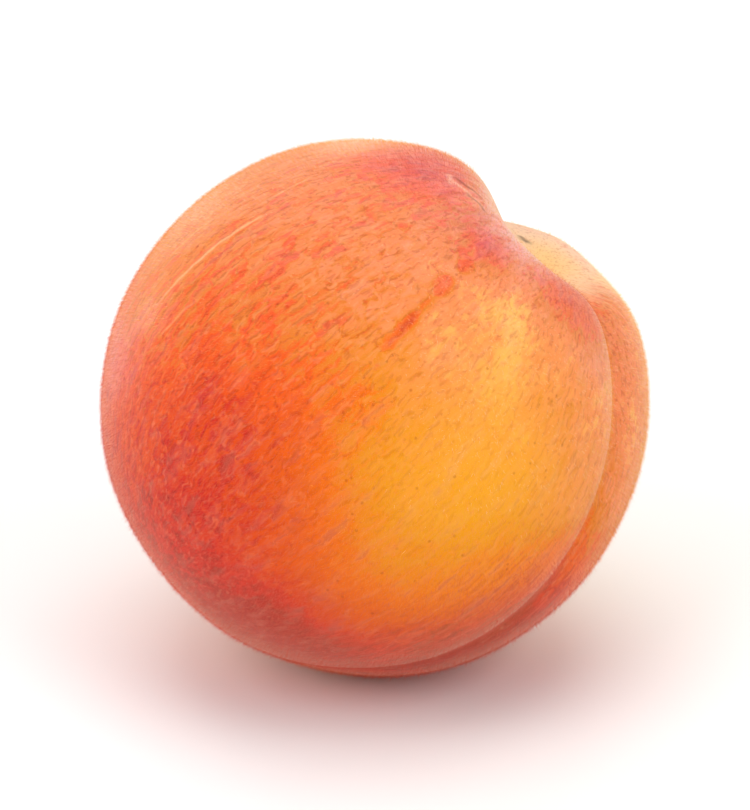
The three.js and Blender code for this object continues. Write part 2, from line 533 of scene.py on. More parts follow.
class Shader:
    """One material's nodes."""

    # A Mix node's sockets for colours, which share their names with its other sockets.
    MIX_SHARE, MIX_FIRST, MIX_SECOND, MIX_RESULT = 0, 6, 7, 2

    def __init__(self, name: str) -> None:
        """Starts a material with no nodes.

        Args:
            name: The material's name.
        """
        self.material = bpy.data.materials.new(name)
        self.material.use_nodes = True
        self.tree = self.material.node_tree
        self.tree.nodes.clear()

    def node(
        self,
        kind: str,
        settings: Mapping[str, object] | None = None,
        sockets: Mapping[str | int, Given] | None = None,
        output: str | int = 0,
    ) -> Value:
        """Adds any node.

        Args:
            kind: The node's Blender type.
            settings: Its properties, set first. A colour ramp takes its stops as pairs of place and
                colour under "stops".
            sockets: A value or a link for each input socket that needs one, by name or number.
            output: The output socket to go on with.

        Returns:
            That output.
        """
        made = self.tree.nodes.new(kind)
        for name, setting in (settings or {}).items():
            if name == "stops":
                self.set_stops(made.color_ramp, setting)
            else:
                setattr(made, name, setting)
        for key, given in (sockets or {}).items():
            if isinstance(given, Value):
                self.tree.links.new(given.socket, made.inputs[key])
            else:
                made.inputs[key].default_value = given
        return Value(self, made.outputs[output])

    @staticmethod
    def set_stops(ramp: bpy.types.ColorRamp, stops: list[tuple[float, Colour]]) -> None:
        """Gives a colour ramp its stops.

        Args:
            ramp: The ramp, with at most as many stops as it gets.
            stops: The place of each, from zero to one, and its colour.
        """
        while len(ramp.elements) < len(stops):
            ramp.elements.new(1.0)
        for element, (place, shade) in zip(ramp.elements, stops, strict=True):
            element.position = place
            element.color = shade

    def attribute(self, name: str, output: str) -> Value:
        """Reads one of the mesh's own attributes, as Fac or as Vector."""
        return self.node("ShaderNodeAttribute", {"attribute_name": name}, output=output)

    def vector(self, operation: str, *terms: Given, output: str = "Vector") -> Value:
        """Adds a Vector Math node of that operation on the terms."""
        sockets = dict(enumerate(terms))
        return self.node("ShaderNodeVectorMath", {"operation": operation}, sockets, output)

    def scaled(self, vector: Value, by: float) -> Value:
        """The vector times a number."""
        return self.node("ShaderNodeVectorMath", {"operation": "SCALE"}, {0: vector, "Scale": by})

    def noise(self, at: Value, scale: float, detail: float = 2.0, output: str = "Fac") -> Value:
        """Blender's noise at a vector, about 0.5 on average."""
        sockets = {"Vector": at, "Scale": scale, "Detail": detail}
        return self.node("ShaderNodeTexNoise", None, sockets, output)

    def mix(self, share: Given, first: Given, second: Given, blend: str = "MIX") -> Value:
        """Mixes two colours.

        Args:
            share: How much of the second there is, from zero to one.
            first: The colour underneath.
            second: The colour on top.
            blend: How the node puts it on.

        Returns:
            The mixed colour.
        """
        settings = {"data_type": "RGBA", "blend_type": blend}
        sockets = {self.MIX_SHARE: share, self.MIX_FIRST: first, self.MIX_SECOND: second}
        return self.node("ShaderNodeMix", settings, sockets, self.MIX_RESULT)

    def principled(self, sockets: Mapping[str | int, Given]) -> bpy.types.Material:
        """Gives the material its surface.

        Args:
            sockets: A value or a link for each input socket of the surface that needs one.

        Returns:
            The finished material.
        """
        surface = self.node("ShaderNodeBsdfPrincipled", None, sockets, "BSDF")
        output = self.tree.nodes.new("ShaderNodeOutputMaterial")
        self.tree.links.new(surface.socket, output.inputs["Surface"])
        return self.material


# ---------------------------------------------------------------------------------------------------
# Finishes
# ---------------------------------------------------------------------------------------------------


class Blend(Enum):
    """How a tint goes on what is under it."""

    COVER = "MIX"
    DARKEN = "MULTIPLY"


@dataclass(frozen=True)
class Tint:
    """A colour laid on the skin in places."""

    code: str
    share: float = 1.0  # how much of it shows where it is strongest
    blend: Blend = Blend.COVER

    def over(self, under: Value, where: Value) -> Value:
        """What is under it, with the tint laid on it as strongly as the place asks."""
        return under.shader.mix(where * self.share, under, colour(self.code), self.blend.value)


@dataclass(frozen=True)
class Noise:
    """Smooth noise on the skin, zero on average and seldom past a quarter either way."""

    scale: float  # more is finer
    detail: float
    along: float = 1.0  # how many times finer it is along the meridians
    strength: float = 1.0

    def at(self, place: Value) -> Value:
        """Adds the noise.

        Args:
            place: The vector that it is worked out at.

        Returns:
            The noise, times its strength.
        """
        shader = place.shader
        if self.along != 1:
            place = shader.vector("MULTIPLY", place, (1.0, 1.0, self.along))
        return (shader.noise(place, self.scale, self.detail) - NOISE_MIDDLE) * self.strength

    def wander(self, place: Value) -> Value:
        """Adds a short vector that points this way and that over the skin.

        Args:
            place: The vector that its noise is worked out at.

        Returns:
            The short vector, times the noise's strength.
        """
        shader = place.shader
        anywhere = shader.noise(place, self.scale, self.detail, "Color")
        return shader.scaled(shader.vector("SUBTRACT", anywhere, (NOISE_MIDDLE,) * 3), self.strength)


@dataclass(frozen=True)
class Patch:
    """A soft-edged patch of colour on the skin."""

    from_stem: float
    around: float
    radius: float  # degrees
    strength: float

    @property
    def centre(self) -> Array:
        """The unit vector to its middle."""
        return direction(self.from_stem, self.around)

    @property
    def sharpness(self) -> float:
        """How fast it fades away from its middle."""
        return 2 / math.radians(self.radius) ** 2

    def at(self, ways: Array) -> Array:
        """How strong the patch is in the directions given."""
        return self.strength * np.exp((ways @ self.centre - 1) * self.sharpness)

    def on(self, way: Value) -> Value:
        """How strong the patch is at the shader's unit vector on the fruit."""
        nearness = way.dot(self.centre)
        return ((nearness - 1.0) * self.sharpness).exp() * self.strength


@dataclass(frozen=True)
class Stroke:
    """A thin line on the skin, straight between two places given by their angles."""

    start: tuple[float, float]
    end: tuple[float, float]
    width: float  # degrees from its middle to where it has faded to about a third
    strength: float
    fade: tuple[float, float] = (1.2, 0.6)  # of its half length, from where it starts to where it is full

    def on(self, way: Value) -> Value:
        """Works out how strong the line is.

        Args:
            way: The shader's unit vector on the fruit.

        Returns:
            Zero away from the line, and its strength along its middle.
        """
        start, end = direction(*self.start), direction(*self.end)
        middle = unit(start + end)
        half = math.acos(float(start @ middle))
        across = way.dot(unit(np.cross(start, end))) * (1 / math.radians(self.width))
        faint, full = (math.cos(half * share) for share in self.fade)
        return (0.0 - across * across).exp() * way.dot(middle).step(faint, full) * self.strength


def total(way: Value, marks: tuple[Patch | Stroke, ...]) -> Value:
    """The strengths of some patches and strokes at a place, added up."""
    return sum(mark.on(way) for mark in marks)


class SkinMap:
    """What the skin's tints are worked out from at each place on it, as values of one shader."""

    def __init__(self, shader: Shader, finish: SkinFinish) -> None:
        """Reads what the mesh says about each place, and adds what several tints share.

        Args:
            shader: The material's nodes.
            finish: The skin's patches and noises.
        """
        self.way = shader.attribute("way", "Vector")
        self.spokes = shader.attribute("grain", "Vector")  # the grain before it curls
        self.hollow = shader.attribute("hollow", "Fac")
        self.crease = shader.attribute("crease", "Fac")
        self.off_axis = shader.attribute("off_axis", "Fac")
        self.wrinkle = shader.attribute("wrinkle", "Fac")
        self.millimetres = shader.scaled(self.way, finish.radius)
        curl = finish.curl.wander(self.millimetres)
        self.grain = shader.vector("ADD", self.spokes, shader.scaled(curl, finish.grain_curl))
        self.wandering = self.moved(finish.drift.wander(self.way))
        self.bent = self.moved(shader.scaled(curl, finish.line_curl))
        self.cloud = finish.cloud.at(self.way)
        self.streak = finish.streak.at(self.grain)
        self.blush = total(self.wandering, finish.blush)
        self.golden = total(self.wandering, finish.gold).clipped()
        calm = (self.golden + total(self.wandering, finish.calm)).clipped()
        self.busy = 1.0 - calm * finish.calming

    def moved(self, aside: Value) -> Value:
        """The unit vector of a place a little to the side."""
        shader = self.way.shader
        return shader.vector("NORMALIZE", shader.vector("ADD", self.way, aside))


@dataclass(frozen=True)
class SkinFinish:
    """The peach's skin: gold under a mottled, streaked blush, redder underneath partly as painted shade,
    pale in the cavity, with a velvet sheen and pale painted sheen near its edges.

    A pair of numbers is where something begins to show and where it shows in full.
    """

    ripeness: tuple[tuple[float, str], ...] = (
        (0.0, "fbd266"),
        (0.12, "f18855"),
        (0.3, "dd781e"),
        (0.48, "e8530a"),
        (0.64, "dd460a"),
        (0.8, "d0261a"),
        (1.0, "ac1f18"),
    )
    blush: tuple[Patch, ...] = (
        Patch(109.0, -81.0, 34.0, 0.56),  # the sunny cheek
        Patch(158.0, -108.0, 36.0, 0.59),  # its darkest part, towards the tip
        Patch(63.0, -119.0, 33.0, 0.20),  # its shoulder
        # redder on the underside, partly the fruit's own colour and partly painted shade
        Patch(143.0, -34.0, 22.0, 0.64),
        Patch(37.0, -133.0, 15.0, 0.62),  # lips of the stem cavity
        Patch(35.0, -87.0, 7.0, 0.49),
        Patch(22.0, -41.0, 13.0, 0.60),
        Patch(53.0, -31.0, 12.0, 0.13),  # along the suture
        Patch(32.0, 17.0, 21.0, 0.10),
        Patch(29.0, -50.0, 7.0, 0.10),
        Patch(13.0, 9.0, 8.0, 0.58),
        # redder on the underside below the suture, partly its own colour and partly painted shade
        Patch(106.0, 3.0, 33.0, 1.05),
        Patch(118.0, 178.0, 50.0, 0.45),  # behind
        Patch(62.0, 150.0, 28.0, 0.2),
    )
    # Pink painted sheen: the down's pale haze where it catches the light, on the top, at the edges and on
    # the cavity's lip.
    rose_sheen: tuple[Patch, ...] = (
        Patch(14.0, -122.0, 24.0, 0.41),
        Patch(23.0, -84.0, 9.0, 0.6),
        Patch(24.0, -18.0, 25.0, 0.13),
        Patch(121.0, -139.0, 13.0, 0.4),
        Patch(57.0, -134.0, 34.0, 0.15),
        Patch(36.0, -24.0, 6.0, 0.17),
    )
    gold: tuple[Patch, ...] = (Patch(77.0, -41.0, 29.0, 0.85), Patch(95.0, 105.0, 34.0, 0.55))
    # Pale: the far wall of the stem cavity, then painted sheen, the down's pale haze along the upper and
    # left edges.
    cream_and_sheen: tuple[Patch, ...] = (
        Patch(22.0, 95.0, 10.0, 0.75),
        # pale painted sheen along the upper and left edges
        Patch(89.0, -149.0, 15.0, 0.29),
        Patch(107.0, -129.0, 6.0, 0.28),
        Patch(49.0, -152.0, 10.0, 0.35),
    )
    straw: tuple[Patch, ...] = (
        Patch(10.0, 98.0, 7.0, 0.4),
        Patch(6.0, -30.0, 14.0, 0.5),
        Patch(27.0, 165.0, 12.0, 0.4),
    )
    runs: tuple[Stroke, ...] = (  # short red runs below the lip
        Stroke((41.0, -85.0), (46.0, -83.5), 2.0, 0.35),
        Stroke((48.0, -84.0), (54.0, -81.5), 2.1, 0.45),
        Stroke((54.0, -82.0), (66.0, -80.2), 1.2, 0.25),
        Stroke((60.0, -80.8), (71.0, -79.3), 1.5, 0.4),
    )
    calm: tuple[Patch, ...] = (Patch(122.0, -45.0, 30.0, 0.8),)  # where the skin has no strokes
    marks: tuple[Patch, ...] = (  # small and dark
        Patch(12.6, 125.0, 1.2, 1.1),
        Patch(14.2, 128.0, 0.8, 0.9),
    )
    threads: tuple[Stroke, ...] = (  # long pale lines along the meridians
        Stroke((74.0, -127.0), (105.0, -129.0), 0.4, 0.5),
        Stroke((84.0, -138.0), (97.0, -139.0), 0.4, 0.3),
        Stroke((61.0, -134.0), (72.0, -132.0), 0.35, 0.3),
        Stroke((96.0, -119.0), (108.0, -121.0), 0.35, 0.25),
    )
    folds: tuple[Stroke, ...] = (  # where the lip's skin is pinched: painted shade along the middle of each fold
        Stroke((30.5, -126.0), (25.0, -115.0), 0.5, 0.75),
        Stroke((29.5, -115.0), (27.0, -103.0), 0.45, 0.65),
    )
    fold_highlights: tuple[Stroke, ...] = (  # and a painted highlight beside it
        Stroke((32.0, -124.0), (27.0, -104.0), 0.7, 0.6),
        Stroke((31.5, -128.0), (33.0, -120.0), 0.6, 0.4),
        Stroke((27.5, -124.0), (23.0, -112.0), 0.6, 0.3),
    )
    # the pink of the painted sheen
    rose_sheen_tint: Tint = Tint("f0b7c4", 0.75)
    gold_tint: Tint = Tint("f7b10a", 0.9)
    # the pale of the cavity, and of the painted sheen along the edges
    cream_and_sheen_tint: Tint = Tint("fbcbad", 0.9)
    straw_tint: Tint = Tint("f9c04e")
    ray_tint: Tint = Tint("e0552a", 0.55)
    stroke_tint: Tint = Tint("b8683e", 0.36, Blend.DARKEN)
    fleck_tint: Tint = Tint("ffc795", 0.14)
    streak_tint: Tint = Tint("b8402c", 0.3)
    dot_tint: Tint = Tint("b5702a", 0.4, Blend.DARKEN)
    wrinkle_tint: Tint = Tint("a85a3c", 0.3)
    thread_tint: Tint = Tint("ffcf98")
    # painted highlight and painted shade of the lip's folds
    fold_highlight_tint: Tint = Tint("fbc8ac")
    fold_shade_tint: Tint = Tint("8c2e1c")
    mark_tint: Tint = Tint("5a3208", 0.85)
    scar_tint: Tint = Tint("b9803f", 0.75)
    rind_tint: Tint = Tint("8a5626", 0.6)
    pit_tint: Tint = Tint("452814")

    radius: float = 36.0  # of the fruit, in millimetres
    drift: Noise = Noise(3.0, 3.0, strength=0.22)  # of the patches' edges, as a share of that radius
    curl: Noise = Noise(0.5, 1.0)
    grain_curl: float = 1.1  # millimetres
    line_curl: float = 0.02  # as a share of the radius
    cloud: Noise = Noise(6.0, 3.0)
    mottle: Noise = Noise(0.42, 3.0, along=3.0, strength=0.46)
    dapple: Noise = Noise(1.0, 2.0, along=3.0, strength=0.84)
    streak: Noise = Noise(0.62, 2.5)
    ray: Noise = Noise(0.7, 3.0)
    stroke: Noise = Noise(1.7, 1.0, along=2.0)
    fleck: Noise = Noise(1.6, 1.0, along=2.0)
    scar_fray: Noise = Noise(24.0, 3.0, strength=1.8)  # of the scar's rings, in millimetres
    pores: Noise = Noise(110.0, 3.0)
    ridges: Noise = Noise(1.6, 2.0, strength=0.6)

    calming: float = 0.75  # how much less texture there is where the skin is golden or calm
    cloud_in_blush: float = 0.2
    crease_in_blush: float = 0.1
    streak_in_blush: float = 0.42
    streak_in_rose_sheen: float = 1.5
    streak_in_cream: float = 0.5
    blush_texture: tuple[float, float] = (0.03, 0.3)  # of blush, over which its texture comes in
    bare_texture: float = 0.14  # of the texture, where there is no blush
    texture_middle: float = 0.01
    palest_texture: float = -0.08
    cream_floor: tuple[float, float] = (0.04, 0.7)  # of the cavity's depth, and so the next three
    ray_top: tuple[float, float] = (0.005, 0.1)
    ray_foot: tuple[float, float] = (0.75, 0.15)
    wrinkled: tuple[float, float] = (0.3, 0.0)
    ray_span: tuple[float, float] = (0.0, 0.22)
    stroke_span: tuple[float, float] = (0.0, 0.22)
    fleck_span: tuple[float, float] = (0.0, 0.25)
    streak_span: tuple[float, float] = (0.11, 0.2)
    streaked_blush: tuple[float, float] = (0.1, 0.5)
    fleck_shift: tuple[float, float, float] = (40.0, 0.0, 0.0)  # so that flecks and strokes differ
    dots: float = 0.62  # to a millimetre, those left out included
    dot_edge: tuple[float, float] = (0.2, 0.06)  # of the way to the next one
    dots_kept: tuple[float, float] = (0.55, 0.8)
    scar_edge: tuple[float, float] = (3.5, 1.8)  # millimetres off the stem axis, and so the next three
    rind_outside: tuple[float, float] = (2.9, 2.2)
    rind_inside: tuple[float, float] = (1.4, 2.1)
    pit_edge: tuple[float, float] = (1.3, 0.5)
    stem_half: tuple[float, float] = (0.0, 0.1)  # of the way along the stem axis, from the middle

    base_roughness: float = 0.62
    cloud_in_roughness: float = 0.2
    pore_depth: float = 0.05 * MM
    pore_strength: float = 0.5
    shine: float = 0.12
    glow: float = 0.2  # of light that goes a little way into the flesh
    glow_depth: float = 1.2 * MM
    glow_reach: tuple[float, float, float] = (1.0, 0.35, 0.15)  # of that depth, for red, green and blue
    velvet: float = 0.75
    velvet_roughness: float = 0.38
    velvet_tint: Colour = (1.0, 0.76, 0.58, 1.0)

    def ripeness_at(self, ways: Array) -> Array:
        """How ripe the skin is in the directions given, less where it is pale, the pale painted sheen
        included, fine marks left out.
        """
        return sum(patch.at(ways) for patch in self.blush) - sum(patch.at(ways) for patch in self.cream_and_sheen)

    def blushed(self, skin: SkinMap) -> Value:
        """Mixes the ground colour: gold, with the mottled and streaked blush over it.

        Args:
            skin: What is known about each place.

        Returns:
            The colour.
        """
        fine = self.mottle.at(skin.grain) + self.dapple.at(skin.grain) + skin.streak * self.streak_in_blush
        textured = skin.blush.step(*self.blush_texture) * (1 - self.bare_texture) + self.bare_texture
        broad = skin.blush + skin.cloud * self.cloud_in_blush + skin.crease * self.crease_in_blush
        even = fine.at_least(self.palest_texture) - self.texture_middle
        ripe = broad + total(skin.way, self.runs) + even * skin.busy * textured
        stops = [(place, colour(code)) for place, code in self.ripeness]
        return ripe.shader.node("ShaderNodeValToRGB", {"stops": stops}, {"Fac": ripe}, "Color")

    def patched(self, skin: SkinMap, tint: Value) -> Value:
        """Lays on the pink and pale painted sheen, the gold parts, the pale cavity, the straw-coloured
        parts and the red rays round the cavity.

        Args:
            skin: What is known about each place.
            tint: The colour so far.

        Returns:
            The colour with them on it.
        """
        # pink painted sheen where the down catches the light
        rose_sheen_share = (total(skin.wandering, self.rose_sheen) * (1.0 + skin.streak * self.streak_in_rose_sheen)).clipped()
        # pale: the cavity's own colour, and pale painted sheen along the edges
        cream_and_sheen_share = total(skin.wandering, self.cream_and_sheen) + skin.hollow.step(*self.cream_floor)
        cream_and_sheen_share = (cream_and_sheen_share + skin.streak * self.streak_in_cream).clipped()
        rays = self.ray.at(skin.spokes).step(*self.ray_span)
        rays = rays * skin.hollow.step(*self.ray_top) * skin.hollow.step(*self.ray_foot)
        tint = self.rose_sheen_tint.over(tint, rose_sheen_share)
        tint = self.gold_tint.over(tint, skin.golden)
        tint = self.cream_and_sheen_tint.over(tint, cream_and_sheen_share)
        tint = self.straw_tint.over(tint, total(skin.wandering, self.straw).clipped())
        return self.ray_tint.over(tint, rays)

    def flecked(self, skin: SkinMap, tint: Value) -> Value:
        """Lays on the fine marks: strokes and flecks along the grain, red streaks, and dots.

        Args:
            skin: What is known about each place.
            tint: The colour so far.

        Returns:
            The colour with them on it.
        """
        shader = tint.shader
        tint = self.stroke_tint.over(tint, self.stroke.at(skin.grain).step(*self.stroke_span) * skin.busy)
        aside = shader.vector("ADD", skin.grain, self.fleck_shift)
        tint = self.fleck_tint.over(tint, self.fleck.at(aside).step(*self.fleck_span) * skin.busy)
        streaks = skin.streak.step(*self.streak_span) * skin.blush.step(*self.streaked_blush)
        tint = self.streak_tint.over(tint, streaks)
        cells = {"Vector": skin.millimetres, "Scale": self.dots, "Randomness": 1.0}
        near_dot = shader.node("ShaderNodeTexVoronoi", None, cells, "Distance")
        drawn = shader.node("ShaderNodeTexVoronoi", None, cells, "Color")
        kept = shader.node("ShaderNodeSeparateXYZ", None, {0: drawn}, "X").step(*self.dots_kept)
        return self.dot_tint.over(tint, near_dot.step(*self.dot_edge) * kept * (1.0 - skin.hollow))

    def pinched(self, skin: SkinMap, tint: Value) -> Value:
        """Lays on the wrinkles at the cavity's lip, the painted shade and highlights of its folds, the pale
        threads and the dark marks.

        Args:
            skin: What is known about each place.
            tint: The colour so far.

        Returns:
            The colour with them on it.
        """
        tint = self.wrinkle_tint.over(tint, skin.wrinkle * skin.hollow.step(*self.wrinkled))
        tint = self.thread_tint.over(tint, total(skin.bent, self.threads))
        tint = self.fold_highlight_tint.over(tint, total(skin.bent, self.fold_highlights))
        tint = self.fold_shade_tint.over(tint, total(skin.bent, self.folds))
        return self.mark_tint.over(tint, total(skin.way, self.marks).clipped())

    def scarred(self, skin: SkinMap, tint: Value) -> Value:
        """Lays on the stem scar's brown rings and dark pit, and the dry tip at the blossom end.

        Args:
            skin: What is known about each place.
            tint: The colour so far.

        Returns:
            The colour with them on it.
        """
        upwards = tint.shader.node("ShaderNodeSeparateXYZ", None, {0: skin.way}, "Z")
        stem_half = upwards.step(*self.stem_half)
        out = skin.off_axis + self.scar_fray.at(skin.way)
        rind = out.step(*self.rind_outside) * out.step(*self.rind_inside)
        tint = self.scar_tint.over(tint, out.step(*self.scar_edge) * stem_half)
        tint = self.rind_tint.over(tint, rind * stem_half)
        return self.pit_tint.over(tint, out.step(*self.pit_edge))

    def material(self) -> bpy.types.Material:
        """Builds the skin's material.

        Returns:
            The material.
        """
        shader = Shader("downy_skin")
        skin = SkinMap(shader, self)
        tint = self.blushed(skin)
        for lay in (self.patched, self.flecked, self.pinched, self.scarred):
            tint = lay(skin, tint)
        relief = {
            "Height": self.pores.at(skin.way) + self.ridges.at(skin.grain),
            "Strength": self.pore_strength,
            "Distance": self.pore_depth,
        }
        return shader.principled({
            "Base Color": tint,
            "Roughness": self.base_roughness + skin.cloud * self.cloud_in_roughness,
            "Normal": shader.node("ShaderNodeBump", None, relief),
            "Specular IOR Level": self.shine,
            "Subsurface Weight": self.glow,
            "Subsurface Radius": self.glow_reach,
            "Subsurface Scale": self.glow_depth,
            "Sheen Weight": self.velvet,
            "Sheen Roughness": self.velvet_roughness,
            "Sheen Tint": self.velvet_tint,
        })


@dataclass(frozen=True)
class PlainFinish:
    """An even finish, for the hairs of the down and for the studio floor."""

    name: str
    tint: str
    roughness: float = 0.9
    shine: float = 0.1
    velvet: float = 0.0
    velvet_roughness: float = 0.3

    def material(self) -> bpy.types.Material:
        """Builds the material.

        Returns:
            The material.
        """
        return Shader(self.name).principled({
            "Base Color": colour(self.tint),
            "Roughness": self.roughness,
            "Specular IOR Level": self.shine,
            "Sheen Weight": self.velvet,
            "Sheen Roughness": self.velvet_roughness,
        })


# ---------------------------------------------------------------------------------------------------
# Meshes
# ---------------------------------------------------------------------------------------------------


def new_object(name: str, points: Array, *face_sets: Array) -> bpy.types.Object:
    """Makes a smooth mesh object at the origin.

    Args:
        name: The object's and the mesh's name.
        points: Vertex coordinates, one row each.
        face_sets: Rows of vertex numbers, with as many columns as the faces have sides.

    Returns:
        The object, in the scene.
    """
    mesh = bpy.data.meshes.new(name)
    corners = np.concatenate([faces.ravel() for faces in face_sets])
    sides = np.concatenate([np.full(len(faces), faces.shape[1]) for faces in face_sets])
    mesh.vertices.add(len(points))
    mesh.vertices.foreach_set("co", points.astype(np.float32).ravel())
    mesh.loops.add(len(corners))
    mesh.loops.foreach_set("vertex_index", corners.astype(np.int32))
    mesh.polygons.add(len(sides))
    mesh.polygons.foreach_set("loop_start", (np.cumsum(sides) - sides).astype(np.int32))
    mesh.update(calc_edges=True)
    mesh.shade_smooth()
    made = bpy.data.objects.new(name, mesh)
    bpy.context.scene.collection.objects.link(made)
    return made


def add_attribute(mesh: bpy.types.Mesh, name: str, values: Array) -> None:
    """Keeps a value for each vertex where a material can read it.

    Args:
        mesh: The mesh.
        name: The name that the material reads it by.
        values: A number or a vector for each vertex.
    """
    kind, key = ("FLOAT_VECTOR", "vector") if values.ndim > 1 else ("FLOAT", "value")
    attribute = mesh.attributes.new(name, kind, "POINT")
    attribute.data.foreach_set(key, values.astype(np.float32).ravel())


@dataclass
class Skin:
    """The peach's whole skin, one closed mesh of rings and meridians."""

    form: PeachForm = PeachForm()
    relief: SkinRelief = SkinRelief()
    lie: Lie = Lie()
    finish: SkinFinish = SkinFinish()
    meridians: int = 400
    suture_crowding: float = 0.7  # spacing of meridians at the suture, as a share of the even spacing
    # Up to how many degrees from the stem end each band of rings runs, and how many it has.
    ring_bands: tuple[tuple[float, int], ...] = ((5, 18), (34, 62), (62, 32), (166, 112), (180, 16))
    grain_stretch: float = 0.15  # how much shorter the skin's grain is along the meridians
    crease_reach: float = 1.2 * MM
    crease_begins: tuple[float, float] = (12.0, 30.0)  # degrees from the stem end
    ways: Array = field(init=False)
    fruit: Array = field(init=False)  # the skin's points in the fruit frame
    points: Array = field(init=False)  # and in the part's frame
    normals: Array = field(init=False)
    wrinkles: Array = field(init=False)

    def __post_init__(self) -> None:
        """Works out the grid of skin points, from the stem end to the tip."""
        self.ways = direction(self.ring_angles()[:, None], self.meridian_angles()[None, :])
        self.fruit = self.form.points(self.ways)
        self.wrinkles = self.relief.wrinkles_at(self.form, self.ways, self.fruit)
        relief = self.relief.height_at(self.form, self.ways, self.fruit)
        relief = relief - self.relief.wrinkle_depth * self.wrinkles
        self.fruit = self.fruit + self.grid_normals(self.fruit) * relief[..., None]
        turned = self.fruit @ self.lie.turn.T
        self.points = self.lie.pressed(turned + self.lie.shift(turned))
        self.normals = self.grid_normals(self.points)

    def ring_angles(self) -> Array:
        """Spaces the rings, closest where the shape turns fastest.

        Returns:
            The angle of each ring from the stem end in degrees, both poles included.
        """
        angles = [0.0]
        for up_to, rings in self.ring_bands:
            angles += list(np.linspace(angles[-1], up_to, rings + 1)[1:])
        return np.array(angles)

    def meridian_angles(self) -> Array:
        """Angle of each meridian around from the suture, the first one opposite it."""
        even = np.linspace(-180, 180, self.meridians, endpoint=False)
        return even * (self.suture_crowding + (1 - self.suture_crowding) * (even / 180) ** 2)

    def grid_normals(self, points: Array) -> Array:
        """Works out which way a grid of skin points faces.

        Args:
            points: The grid, with a row for each ring and a column for each meridian.

        Returns:
            The outward unit normal at each point.
        """
        along = np.gradient(points, axis=0)
        around = np.roll(points, -1, axis=1) - np.roll(points, 1, axis=1)
        normals = np.cross(along, around)
        normals[[0, -1]] = normals[[1, -2]].mean(axis=1, keepdims=True)
        return unit(normals)

    def per_vertex(self, grid: Array) -> Array:
        """A grid's values in the order of the mesh's vertices, where each pole is a single one."""
        inner = grid[1:-1].reshape(-1, *grid.shape[2:])
        return np.concatenate([grid[:1, 0], inner, grid[-1:, 0]])

    def markings(self) -> dict[str, Array]:
        """Works out what the skin's material reads at each point.

        Returns:
            A grid of values for each of the mesh's attributes, by its name.
        """
        turn, from_stem = angle_around(self.ways), angle_from_stem(self.ways)
        millimetres = self.form.half_width / MM
        narrowing = np.sqrt(np.sin(np.radians(from_stem))) * millimetres
        along = np.radians(from_stem) * self.grain_stretch * millimetres
        sideways = self.form.body_radius(self.ways) * self.ways[..., 1]
        run = smooth_step(from_stem, *self.crease_begins) * (self.ways[..., 0] > 0)
        return {
            "way": self.ways,
            "grain": np.stack([np.cos(turn) * narrowing, np.sin(turn) * narrowing, along], axis=-1),
            "hollow": self.form.hollow_at(self.ways, self.fruit),
            "crease": self.form.suture.nearness(sideways, self.crease_reach) * run,
            "off_axis": off_axis(self.fruit) / MM,
            "wrinkle": self.wrinkles,
        }

    def unwrap(self, mesh: bpy.types.Mesh) -> None:
        """Lays the skin out flat, meridians upright, with the seam opposite the suture.

        Args:
            mesh: The skin's mesh, its quads first and then the triangles round its poles.
        """
        last_ring, tip = len(self.ways) - 1, len(mesh.vertices) - 1
        corners = np.zeros(len(mesh.loops), dtype=np.int32)
        mesh.loops.foreach_get("vertex_index", corners)
        at_pole = (corners == 0) | (corners == tip)
        ring = np.where(at_pole, 0, (corners - 1) // self.meridians + 1)
        ring[corners == tip] = last_ring
        column = np.where(at_pole, -1, (corners - 1) % self.meridians).astype(float)
        quad_corners = (last_ring - 2) * self.meridians * 4
        body, caps = column[:quad_corners].reshape(-1, 4), column[quad_corners:].reshape(-1, 3)
        for faces in (body, caps):
            wraps = (faces.max(axis=1) == self.meridians - 1) & ((faces == 0).any(axis=1))
            faces[wraps[:, None] & (faces == 0)] = self.meridians
        pole = caps < 0
        middle = np.where(pole, 0, caps).sum(axis=1) / 2
        caps[pole] = np.repeat(middle, pole.sum(axis=1))
        layout = np.stack([column / self.meridians, 1 - ring / last_ring], axis=-1)
        mesh.uv_layers.new(name="OFBake").data.foreach_set("uv", layout.astype(np.float32).ravel())

    def faces(self) -> tuple[Array, Array]:
        """Works out the faces between the skin's vertices.

        Returns:
            The quads between neighbouring rings, and the triangles round the two poles.
        """
        count, rings = self.meridians, len(self.ways)
        here = np.arange(count)
        beside = (here + 1) % count
        row = 1 + count * np.arange(rings - 3)[:, None]
        quads = np.stack([row + here, row + count + here, row + count + beside, row + beside], axis=-1)
        last = 1 + count * (rings - 2)
        caps = np.concatenate([
            np.stack([np.zeros_like(here), 1 + here, 1 + beside], axis=-1),
            np.stack([last - count + beside, last - count + here, np.full_like(here, last)], axis=-1),
        ])
        return quads.reshape(-1, 4), caps

    def build(self) -> bpy.types.Object:
        """Makes the skin's mesh and dresses it.

        Returns:
            The skin, in place of the solid.
        """
        skin = new_object("peach_skin", self.per_vertex(self.points), *self.faces())
        for name, values in self.markings().items():
            add_attribute(skin.data, name, self.per_vertex(values))
        self.unwrap(skin.data)
        skin.data.materials.append(self.finish.material())
        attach(skin, BODY)
        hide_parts(NODE)
        return skin


class Zone(Enum):
    """Which part of the skin a piece of the down covers."""

    STEM_END = "down_stem_end"
    SUTURE_SIDE = "down_suture_side"
    FRONT_CHEEK = "down_front_cheek"
    BACK_CHEEK = "down_back_cheek"
    BLOSSOM_END = "down_blossom_end"


@dataclass(frozen=True)
class Tone(PlainFinish):
    """One shade of down, for skin that is no riper than some limit."""

    roughness: float = 0.55
    shine: float = 0.15
    velvet: float = 0.15
    up_to: float = 2.0  # how ripe the skin under it is at most


